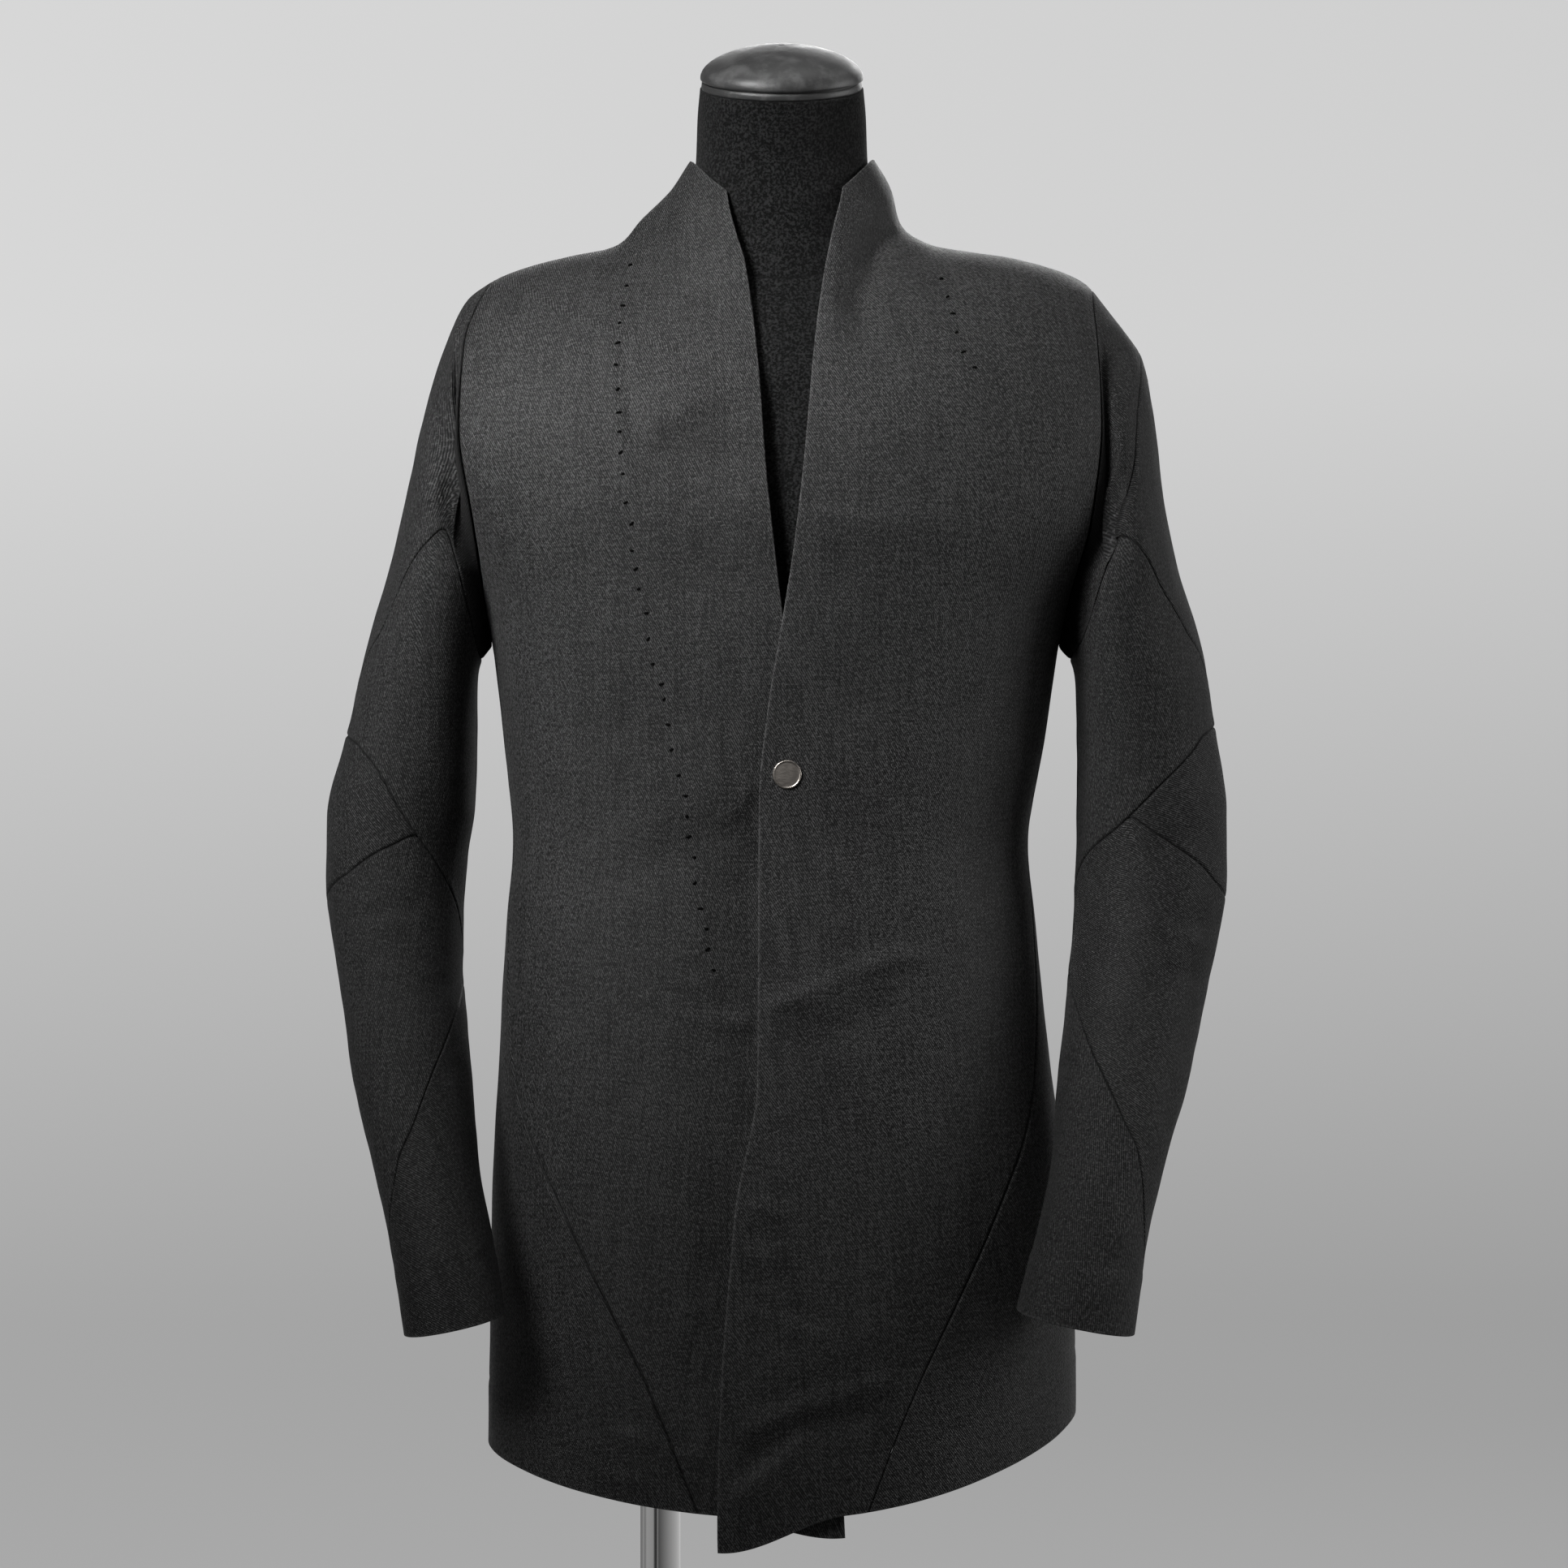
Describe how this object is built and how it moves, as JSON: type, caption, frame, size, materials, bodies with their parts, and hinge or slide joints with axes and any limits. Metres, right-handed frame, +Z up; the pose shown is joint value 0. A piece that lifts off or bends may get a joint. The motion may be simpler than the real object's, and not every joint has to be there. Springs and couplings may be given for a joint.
{
  "type": "denim blazer on dress form",
  "caption": "Coated denim blazer with a stand collar, edge-to-edge lapels, curved side panels and pieced sleeves, worn by a limbless dress form on a pole and round base.",
  "frame": {"origin": "centre of the base plate's underside, on the floor", "axes": "+Z up, -Y the way the garment's front faces, +X the wearer's left"},
  "size_m": [0.6211, 0.36, 1.6001],
  "materials": {
    "coated_denim": "near-black coated twill with a soft waxy sheen",
    "form_felt": "dark grey fine felt stretched over the form",
    "form_cap_satin": "satin black enamel, slightly worn",
    "chrome": "polished chrome tube",
    "brushed_steel": "brushed steel plate",
    "snap_metal": "satin silver snap cap"
  },
  "bodies": {
    "root": {"left_front": "coated_denim", "right_front": "coated_denim", "left_side_panel": "coated_denim", "right_side_panel": "coated_denim", "back": "coated_denim", "back_collar": "coated_denim", "left_sleeve_front": "coated_denim", "left_sleeve_back": "coated_denim", "left_sleeve_bend": "coated_denim", "left_sleeve_elbow": "coated_denim", "left_sleeve_forearm": "coated_denim", "left_sleeve_cuff": "coated_denim", "right_sleeve_front": "coated_denim", "right_sleeve_back": "coated_denim", "right_sleeve_bend": "coated_denim", "right_sleeve_elbow": "coated_denim", "right_sleeve_forearm": "coated_denim", "right_sleeve_cuff": "coated_denim", "snap_cap": "snap_metal", "form_torso": "form_felt", "form_cap": "form_cap_satin", "pole": "chrome", "base_plate": "brushed_steel"}
  },
  "joints": []
}
